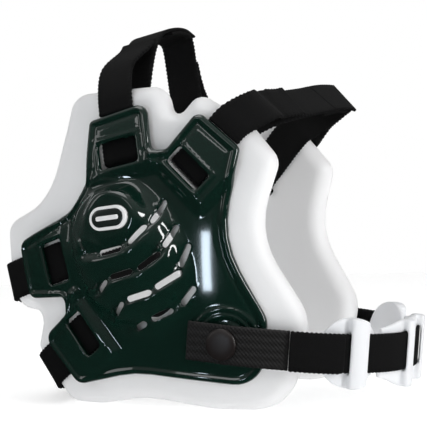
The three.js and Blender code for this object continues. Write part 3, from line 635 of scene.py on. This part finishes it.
def add_badges():
    """A plain white oval plate with a dark oval field and a white bar across it."""
    seat = BADGE_SEAT + CLEARANCE + 0.1
    for name, side in SIDES:
        add_badge_layer(f"{name}_badge_plate", side, BADGE_LENGTH, BADGE_HEIGHT, seat - 0.4,
                        seat + 1.5, "badge", f"{name}_badge")
        add_badge_layer(f"{name}_badge_field", side, BADGE_LENGTH - 3, BADGE_HEIGHT - 3,
                        seat + 1.0, seat + 1.75, "badge_dark")
        add_badge_layer(f"{name}_badge_bar", side, BADGE_LENGTH - 7, 2.4, seat + 1.4,
                        seat + 2.05, "badge")


# ---- turned snap pieces -----------------------------------------------------------
def turned(name, profile, side, look, segments=64):
    """A turned piece on the snap axis. Profile: (radius, distance from the mid-plane)."""
    vertices = []
    for radius, out in profile:
        for k in range(segments):
            angle = 2 * math.pi * k / segments
            vertices.append((SNAP[0] + CENTRE_SHIFT + radius * math.cos(angle), side * out,
                             SNAP[1] + radius * math.sin(angle)))
    faces = ring_faces(len(profile), segments)
    return add_object(name, vertices, flipped_for(side, faces), LOOKS[look], 35)


def add_snaps():
    crown = [(7.8 * math.cos(a) ** 0.6, 71.2 + 1.7 * math.sin(a)) for a in np.linspace(0.05, 1.5, 12)]
    for name, side in SIDES:
        cap = turned(f"{name}_snap_cap_top", [(2, 68.6), (2, 70.5), (7.3, 70.5), (7.7, 70.8), *crown,
                                              (0.05, 72.95)], side, "cap")
        placed(cap, f"{name}_snap_end", "snap_cap", f"{name}_snap_cap")
        socket = turned(f"{name}_snap_socket_ring", [(3.3, 67.95), (3.3, 67.35), (5.3, 67.35),
                                                     (5.6, 67.6), (5.6, 68.2), (0.05, 68.2)], side, "metal")
        placed(socket, f"{name}_snap_end", "snap_metal", f"{name}_snap_socket")
        stud = turned(f"{name}_snap_stud_post", [(1.7, 62.2), (1.7, 66.7), (4.8, 66.7), (5, 66.9),
                                                 (4.8, 67.1), (2.5, 67.1), (2.9, 67.4), (2.5, 67.7),
                                                 (0.05, 67.75)], side, "metal")
        placed(stud, "guards", "snap_metal", f"{name}_snap_stud")
        washer = turned(f"{name}_snap_washer_ring", [(2.1, 62.4), (6, 62.4), (6, 63.2), (2.1, 63.2)],
                        side, "metal")
        placed(washer, "guards", "snap_metal", f"{name}_snap_washer")


# ---- curves and bands -------------------------------------------------------------
def catmull_rom(points, step, directions=None):
    """A smooth curve through points, evenly stepped, with directions mixed along it."""
    p = np.asarray(points, float)
    last = len(p) - 1
    padded = np.vstack([2 * p[0] - p[1], p, 2 * p[-1] - p[-2]])
    fine, at = [], []
    per = 24
    for k in range(last):
        x0, x1, x2, x3 = padded[k:k + 4]
        d0, d1, d2 = (max(np.linalg.norm(b - a), 1e-4) ** 0.5 for a, b in ((x0, x1), (x1, x2), (x2, x3)))
        t1 = ((x1 - x0) / d0 - (x2 - x0) / (d0 + d1) + (x2 - x1) / d1) * d1
        t2 = ((x2 - x1) / d1 - (x3 - x1) / (d1 + d2) + (x3 - x2) / d2) * d1
        for i in range(per + (k == last - 1)):
            t = i / per
            fine.append(x1 + t1 * t + (-3 * x1 + 3 * x2 - 2 * t1 - t2) * t ** 2
                        + (2 * x1 - 2 * x2 + t1 + t2) * t ** 3)
            at.append(k + t)
    fine, at = np.array(fine), np.array(at)
    lengths = np.concatenate([[0], np.cumsum(np.linalg.norm(np.diff(fine, axis=0), axis=1))])
    count = max(2, round(lengths[-1] / step))
    u = np.interp(np.linspace(0, lengths[-1], count + 1), lengths, at)
    places = np.stack([np.interp(u, at, fine[:, k]) for k in range(3)], -1)
    if directions is None:
        return places, None
    w = np.asarray(directions, float)
    k = np.minimum(u.astype(int), last - 1)
    mixed = w[k] + (w[k + 1] - w[k]) * (u - k)[:, None]
    return places, mixed / np.linalg.norm(mixed, axis=1)[:, None]


def unit(v):
    return np.asarray(v, float) / np.linalg.norm(v)


def central_tangent(p):
    t = np.vstack([p[1] - p[0], p[2:] - p[:-2], p[-1] - p[-2]])
    return t / np.linalg.norm(t, axis=1)[:, None]


def band_frame(places, widths):
    """Directions across a band and out of its face, square to its course."""
    along = central_tangent(places)
    across = widths - along * (widths * along).sum(1)[:, None]
    across /= np.linalg.norm(across, axis=1)[:, None]
    return across, np.cross(along, across)


def band_section(width, ribs):
    """Half-widths and heights round a band's section, as shares; ribs run lengthwise."""
    inset = 1 - 0.9 / width
    top = [(a, 1.0 + (0.1 * math.cos(a * math.pi * ribs) if ribs else 0))
           for a in np.linspace(inset, -inset, 9 + 6 * ribs)]
    edge_up, edge_down = (1 - 0.25 / width, 0.55), (1 - 0.25 / width, -0.55)
    right = [edge_down, (1.0, 0.0), edge_up]
    left = [(-a, f) for a, f in reversed(right)]
    bottom = [(-a, -f) for a, f in top]
    return right + top + left + bottom


def add_band(name, stations, width, look, step=0.45, scallop=0.5, ribs=0, weave=0.0,
             thickness=STRAP_THICKNESS, round_end=0.0):
    """A flat woven band through stations (place, direction across)."""
    places, widths = catmull_rom([p for p, _ in stations], step, [w for _, w in stations])
    across, face = band_frame(places, widths)
    travelled = np.arange(len(places)) * step
    length = travelled[-1]
    section = band_section(width, ribs)
    vertices = []
    for i, place in enumerate(places):
        half = width / 2 - scallop * (0.5 + 0.5 * math.cos(travelled[i] * 2 * math.pi / SCALLOP_PITCH))
        if round_end:
            into = max(0.0, round_end - (length - travelled[i]))
            half -= round_end - math.sqrt(max(round_end ** 2 - into ** 2, 0.0))
        end_round = 1 - 0.35 * max(0.0, 1 - min(travelled[i], length - travelled[i]) / 0.6)
        for a, f in section:
            lift = weave * math.cos(travelled[i] * math.pi) * math.cos(a * width * math.pi / 2)
            height = thickness / 2 * f * end_round + (lift if abs(f) > 0.9 else 0) * (1 if f > 0 else -1)
            vertices.append(place + across[i] * (a * half) + face[i] * height)
    return add_object(name, vertices, ring_faces(len(places), len(section)), LOOKS[look], 55)


def guard_station(strap, q, n, side):
    """A band station on the guard: its place and the direction across the band."""
    def place(w):
        return guard_point(*lug_point(strap, q, w), n, side)
    return place(0), unit(place(1) - place(-1))


def held_stations(strap, side):
    """Down the pad's inner face, out through its slot and under the lug's bar."""
    bend, back = 2.5, -PAD_THICKNESS
    middle = -strap["half_height"] + SLOT_SETBACK
    stations = []
    q = strap["pad_edge"]
    while q > middle + bend + 2:
        stations.append(guard_station(strap, q, back - STRAP_RIDE_INSIDE, side))
        q -= 7
    for n, first, last in ((back - STRAP_RIDE_INSIDE + bend, -90, -180), (STRAP_RIDE - bend, 180, 90)):
        for k in range(5):
            a = math.radians(mix(first, last, k / 4))
            stations.append(guard_station(strap, middle + bend + bend * math.cos(a),
                                          n + bend * math.sin(a), side))
    stations.append(guard_station(strap, (middle + strap["lug_edge"]) / 2, STRAP_RIDE, side))
    stations.append(guard_station(strap, strap["lug_edge"], STRAP_RIDE, side))
    return stations


def shifted(point):
    return np.array([point[0] + CENTRE_SHIFT, point[1], point[2]], float)


def offset_stations(stations, distance):
    """Stations moved along the band's own face, away from the head or towards it."""
    head_centre = np.array([CENTRE_SHIFT - 15, 0, 95])
    moved = []
    for i, (p, w) in enumerate(stations):
        before, after = stations[max(i - 1, 0)][0], stations[min(i + 1, len(stations) - 1)][0]
        face = unit(np.cross(after - before, w))
        if face @ (p - head_centre) < 0:
            face = -face
        moved.append((p + face * distance, w))
    return moved


def facing(w, other):
    """w, or its reverse where it points away from other."""
    return w if w @ other >= 0 else -w


def span_stations(strap, route, side, end_width):
    """Stations along a strap's free run, from inside the pad's edge to its tip."""
    inner = -PAD_THICKNESS - STRAP_RIDE_INSIDE
    edge = guard_station(strap, strap["pad_edge"], inner, side)
    inside = guard_station(strap, strap["pad_edge"] - 6, inner, side)
    cross = facing(unit(strap["cross_width"]), edge[1])
    tip = facing(unit(end_width), edge[1])
    free = []
    for i, point in enumerate(route):
        share = (i + 1) / len(route)
        w = mix(edge[1], cross, share * 2) if share < 0.5 else mix(cross, tip, share * 2 - 1)
        free.append((shifted(point), unit(w)))
    given = [inside, edge, *free]
    places, widths = catmull_rom([p for p, _ in given], 5, [w for _, w in given])
    reach = np.linalg.norm(edge[0] - inside[0]) - 1
    return [(p, w) for p, w in zip(places, widths) if np.linalg.norm(p - inside[0]) > reach]


def smooth_stations(stations, step):
    places, widths = catmull_rom([p for p, _ in stations], step, [w for _, w in stations])
    return list(zip(places, widths))


def tail_stations(strap, side, span, share_from, share_to):
    """The outer tail: over the pad's edge from the lug, then fastened on its own strap."""
    stations = [guard_station(strap, strap["lug_edge"] + SEAM_GAP, STRAP_RIDE, side)]
    if "wrap_edge" in strap:
        roll = PAD_EDGE_ROUND + STRAP_RIDE + 0.35
        for degrees in (90, 62, 34, 6):
            a = math.radians(degrees)
            q = strap["wrap_edge"] - PAD_EDGE_ROUND + roll * math.cos(a)
            stations.append(guard_station(strap, q, -PAD_EDGE_ROUND + roll * math.sin(a), side))
    else:
        stations.append(guard_station(strap, strap["pad_edge"] - 2, STRAP_RIDE, side))
    first = math.floor(len(span) * share_from + 0.5)
    joined = offset_stations(span, TAIL_PITCH)[first:math.floor(len(span) * share_to + 0.5) + 1]
    joined[0] = offset_stations(span, TAIL_PITCH + 1.8)[first]
    joined[1] = offset_stations(span, TAIL_PITCH + 0.9)[first + 1]
    last_width = stations[-1][1]
    joined = [(p, facing(w, last_width)) for p, w in joined]
    route = strap.get("left_tail_route", strap["tail_route"]) if side > 0 else strap["tail_route"]
    for x, y, z in route:
        stations.append((shifted((x, -side * y, z)), unit(mix(last_width, joined[0][1], 0.85))))
    return smooth_stations([*stations, *joined], 4)


def add_strap(name, strap):
    over = span_stations(strap, strap["over"], -1, strap["tip_width"])
    start = next(i for i, (p, _) in enumerate(over) if p[1] > strap["tab_from"])
    right = [*over[start::-1], *held_stations(strap, -1)[1:]]
    seam = unit(over[start + 1][0] - over[start][0]) * SEAM_GAP
    tab = [(over[start][0] + seam, over[start][1]), *over[start + 1:]]

    under_from, under_to = strap["overlap"]
    beneath = [t for t in offset_stations(over, -LAYER_PITCH) if under_to < t[0][1] < under_from][::-1]
    rise = span_stations(strap, strap["under"], 1, strap["cross_width"])
    beneath = [(p, facing(w, rise[-1][1])) for p, w in beneath]
    turn = smooth_stations([rise[-2], rise[-1], *beneath], 4)
    left = [*turn[::-1], *rise[-3::-1], *held_stations(strap, 1)[1:]]

    pieces = [(f"right_{name}_strap", right, "guards"), (f"left_{name}_strap", left, "guards"),
              (f"{name}_tab", tab, f"{name}_tab")]
    for side_name, side, span, join in (("right", -1, over, strap["tail_join"]),
                                        ("left", 1, rise, strap["left_tail_join"])):
        tail = f"{side_name}_{name}_tail"
        pieces.append((tail, tail_stations(strap, side, span, *join), tail))
    for node, stations, body in pieces:
        band = add_band(f"{node}_band", stations, STRAP_WIDTH, "strap")
        placed(band, body, "strap", node)


# ---- chin strap and cup -----------------------------------------------------------
def chin_to_world(points):
    """From the chin strap's frame, on the snap axis and tilted down, to the whole part's."""
    p = np.asarray(points, float)
    c, s = math.cos(CHIN_TILT), math.sin(CHIN_TILT)
    return np.stack([SNAP[0] + CENTRE_SHIFT + p[..., 0] * c + p[..., 2] * s, p[..., 1],
                     SNAP[1] - p[..., 0] * s + p[..., 2] * c], -1)


CHIN_UP = np.array([math.sin(CHIN_TILT), 0, math.cos(CHIN_TILT)])


def chin_run(d):
    """Distance of the chin strap from the mid-plane, at d in front of the snap."""
    past = max(d - 5, 0)
    return -CHIN_OUT + 0.1449 * past + 0.003341 * past ** 2


def arc_point(degrees, radius, h=0.0):
    a = np.radians(degrees)
    return np.stack(np.broadcast_arrays(CHIN_ARC_CENTRE + radius * np.cos(a), -radius * np.sin(a), h), -1)


def chin_stations(side, runs, angles=(), out=0.0):
    """Chin strap stations from the snap forward, moved outward by out."""
    local = [(d, chin_run(d) - out, 0) for d in runs]
    local += [tuple(arc_point(a, CHIN_ARC_RADIUS + out)) for a in angles]
    return [(chin_to_world((x, -side * y, z)), CHIN_UP) for x, y, z in local]


def add_chin_straps():
    meet = math.degrees(math.acos((CHIN_MEET_X - CHIN_ARC_CENTRE) / CHIN_ARC_RADIUS))
    runs = [TAB_FRONT + BAND_GAP, CHIN_STRAIGHT]
    stations = chin_stations(-1, runs, np.linspace(meet, -meet, 37))
    stations += chin_stations(1, runs)[::-1]
    band = add_band("chin_band_inner", stations, CHIN_WIDTH, "strap")
    placed(band, "chin_strap", "strap", "chin_band")
    for name, side in SIDES:
        stations = chin_stations(side, [TAB_REAR, -8, 4, 8, 13, 19, 25, TAB_FRONT])
        tab = add_band(f"{name}_snap_tab_webbing", stations, CHIN_WIDTH, "webbing", step=0.3,
                       scallop=0.15, ribs=5, weave=0.26)
        placed(tab, f"{name}_snap_end", "webbing", f"{name}_snap_tab")
        stations = chin_stations(side, [OVERLAY_START, CHIN_STRAIGHT],
                                 np.linspace(meet, OVERLAY_END, 6), OVERLAY_OUT)
        doubled = add_band(f"{name}_chin_overlap", stations, CHIN_WIDTH + 0.3, "strap", step=0.4,
                           scallop=0.4, thickness=1.7, round_end=2.6)
        placed(doubled, "chin_strap", "strap")


def cup_edge(angle, middle, waist):
    """Half-height of the cup at an angle round the chin: middle, waist, then end lobe."""
    a = np.abs(angle)
    from_lobe = np.radians(a - LOBE_ANGLE) * CHIN_ARC_RADIUS
    lobe = np.sqrt(np.maximum(LOBE_RADIUS ** 2 - from_lobe ** 2, 0.6))
    flare = mix(middle, waist, smooth(12, WAIST_ANGLE, a))
    return np.where(a > WAIST_ANGLE, np.maximum(lobe, 2.5), np.maximum(flare, lobe))


def cup_plate(first, last, columns, rows, inner, outer, crown=0.0):
    """A closed plate bent round the chin between two angles, in the chin strap's frame."""
    angles = np.linspace(first, last, columns + 1)
    outer = outer - crown * np.linspace(-1, 1, columns + 1)[:, None] ** 2
    share = np.linspace(0, 1, rows + 1)
    low, high = -cup_edge(angles, 18.6, 13), cup_edge(angles, 15.8, 12)
    heights = low[:, None] + (high - low)[:, None] * share
    rings = np.concatenate([arc_point(angles[:, None], inner, heights),
                            arc_point(angles[:, None], outer, heights)[:, ::-1]], 1)
    return rings.reshape(-1, 3), ring_faces(columns + 1, rings.shape[1])


def add_chin_cup():
    """The body plate and the four bars over the strap, melted into one soft moulding."""
    inner, skin, outer = CHIN_ARC_RADIUS - 3.8, CHIN_ARC_RADIUS - 1.35, CHIN_ARC_RADIUS + 3.4
    reach = LOBE_ANGLE + LOBE_REACH
    parts = [cup_plate(reach, -reach, CUP_COLUMNS, 8, inner, skin)]
    half = CHIN_WIDTH / 2 + 0.5
    for near, far in CUP_BARS:
        for first, last in ((far, near), (-near, -far)):
            parts.append(cup_plate(first, last, 12, 8, inner + 1, outer, 1.1))
    vertices, faces = [], []
    for points, polygons in parts:
        first = len(vertices)
        vertices += list(points)
        faces += [tuple(first + i for i in polygon) for polygon in polygons]
    cup = add_object("chin_cup_moulding", vertices, faces, LOOKS["cup"], 180)
    channel_vertices, channel_faces = channel_plate(reach + 3, half, skin - 0.05, CHIN_ARC_RADIUS + 1.35)
    channel = add_object("cup_channel_tool", channel_vertices, channel_faces, LOOKS["cup"])
    cut = cup.modifiers.new("channel", "BOOLEAN")
    cut.operation, cut.solver, cut.object = "DIFFERENCE", "EXACT", channel
    cut.use_self = True
    melt = cup.modifiers.new("melt", "REMESH")
    melt.mode, melt.voxel_size, melt.use_smooth_shade = "VOXEL", 0.0007, True
    soften = cup.modifiers.new("soften", "SMOOTH")
    soften.factor, soften.iterations = 0.5, 14
    applied = bpy.data.meshes.new_from_object(cup.evaluated_get(bpy.context.evaluated_depsgraph_get()))
    cup.modifiers.clear()
    cup.data = applied
    bpy.data.objects.remove(channel)
    cup.data.transform(chin_matrix())
    cup.data.shade_smooth()
    placed(cup, "chin_cup", "chin_cup", "chin_cup")


def channel_plate(reach, half, inner, outer):
    """The room that the strap takes up inside the cup, in the chin strap's frame."""
    angles = np.linspace(reach, -reach, CUP_COLUMNS + 1)
    rings = np.stack([arc_point(angles, inner, -half), arc_point(angles, inner, half),
                      arc_point(angles, outer, half), arc_point(angles, outer, -half)], 1)
    return rings.reshape(-1, 3), ring_faces(CUP_COLUMNS + 1, 4)


def chin_matrix():
    """The chin strap's frame as a matrix, in metres."""
    place = Matrix.Translation(((SNAP[0] + CENTRE_SHIFT) * MM, 0, SNAP[1] * MM))
    return place @ Matrix.Rotation(CHIN_TILT, 4, "Y")


# ---- stage, light and camera ------------------------------------------------------
CAMERA_PLACE = Vector((0.2107, -0.52051, 0.09222))
CAMERA_FORWARD = Vector((-0.3746, 0.9272, 0.0127))
CAMERA_RIGHT = Vector((0.9272, 0.3746, -0.0315))
CAMERA_ANGLE = math.radians(24.10)


def area_light(name, place, target, size, power, size_y=None, color=(1, 1, 1)):
    light = bpy.data.lights.new(name, "AREA")
    light.color = color
    light.energy, light.size = power, size
    if size_y:
        light.shape, light.size_y = "RECTANGLE", size_y
    obj = bpy.data.objects.new(name, light)
    obj.location = place
    obj.rotation_mode = "QUATERNION"
    obj.rotation_quaternion = (Vector(target) - Vector(place)).to_track_quat("-Z", "Y")
    bpy.context.collection.objects.link(obj)


def add_stage():
    """A white floor, and a wall behind the piece that lights it but isn't seen itself."""
    floor = [(-0.6, 0), (0.5, 0), (1.2, 0)]
    wall = [(1.2, 0), (1.6, 0.1), (1.9, 0.4), (2, 0.9), (2, 3)]
    look = material("floor", (0.8, 0.8, 0.8), 0.9, Emission_Color=(1, 1, 1, 1), Emission_Strength=0.52)
    columns = 12
    away = math.atan2(CAMERA_FORWARD.y, CAMERA_FORWARD.x)
    for name, profile in (("floor", floor), ("wall", wall)):
        vertices, faces = [], []
        for back, height in profile:
            for k in range(columns + 1):
                side = mix(-3, 3, k / columns)
                vertices.append((back * math.cos(away) - side * math.sin(away),
                                 back * math.sin(away) + side * math.cos(away), height - 0.0002))
        for r in range(len(profile) - 1):
            for k in range(columns):
                a = r * (columns + 1) + k
                faces.append((a, a + columns + 1, a + columns + 2, a + 1))
        sheet = add_object(name, np.array(vertices) / MM, faces, look, 180)
        sheet.visible_glossy = False
        sheet.visible_camera = name == "floor"


def add_camera():
    forward = CAMERA_FORWARD.normalized()
    right = (CAMERA_RIGHT - forward * CAMERA_RIGHT.dot(forward)).normalized()
    up = right.cross(forward)
    turn = Matrix((right, up, -forward)).transposed().to_4x4()
    camera = bpy.data.cameras.new("camera")
    camera.angle = CAMERA_ANGLE
    obj = bpy.data.objects.new("camera", camera)
    obj.matrix_world = Matrix.Translation(CAMERA_PLACE + Vector((CENTRE_SHIFT * MM, 0, 0))) @ turn
    bpy.context.collection.objects.link(obj)
    bpy.context.scene.camera = obj


def add_surround():
    """A pale floor and wall all round, which only the camera sees: it gives no light."""
    profile = [(2.9, -0.001), (3, 0.1), (3, 4)]
    columns = 48
    vertices, faces = [(0, 0, -0.001)], []
    for radius, height in profile:
        for k in range(columns):
            a = 2 * math.pi * k / columns
            vertices.append((radius * math.cos(a), radius * math.sin(a), height))
    for k in range(columns):
        faces.append((0, 1 + k, 1 + (k + 1) % columns))
    faces += ring_faces(len(profile), columns, first=1, capped=False)
    look = material("surround", (0, 0, 0), 1, Specular_IOR_Level=0.0,
                    Emission_Color=(1, 1, 1, 1), Emission_Strength=1.0)
    surround = add_object("surround", np.array(vertices) / MM, faces, look, 180)
    surround.visible_diffuse = surround.visible_glossy = False
    surround.visible_transmission = surround.visible_shadow = False


def add_world():
    """Dim at floor level and paler overhead, so that gloss shows the shapes."""
    world = bpy.data.worlds.new("studio")
    world.use_nodes = True
    tree = world.node_tree
    place = tree.nodes.new("ShaderNodeTexCoord")
    split = tree.nodes.new("ShaderNodeSeparateXYZ")
    rise = tree.nodes.new("ShaderNodeMapRange")
    for socket, value in (("From Min", -0.05), ("From Max", 0.9), ("To Min", 0.03), ("To Max", 0.42)):
        rise.inputs[socket].default_value = value
    background = tree.nodes["Background"]
    background.inputs["Color"].default_value = (1, 1, 1, 1)
    tree.links.new(place.outputs["Generated"], split.inputs["Vector"])
    tree.links.new(split.outputs["Z"], rise.inputs["Value"])
    tree.links.new(rise.outputs["Result"], background.inputs["Strength"])
    bpy.context.scene.world = world
    bpy.context.scene.view_settings.view_transform = "Standard"


def add_lights():
    middle = (0, 0, 0.09)
    area_light("key", (0.97, -0.25, 0.35), middle, 0.16, 5.5, 0.6)
    area_light("strip", (-0.23, -1.1, 0.05), middle, 0.045, 0.8, 0.24, (0.75, 0.88, 1.0))
    area_light("top", (-0.15, -0.1, 1.0), middle, 0.6, 2.5)
    area_light("front", (0.05, -0.95, 0.7), middle, 0.8, 0.8, 0.12)
    area_light("left", (-0.8, -0.6, 0.45), middle, 0.3, 0.5)


add_pads()
add_shells()
add_badges()
add_snaps()
for strap_name, strap_data in STRAPS.items():
    add_strap(strap_name, strap_data)
add_chin_straps()
add_chin_cup()
add_stage()
add_world()
add_surround()
add_lights()
add_camera()
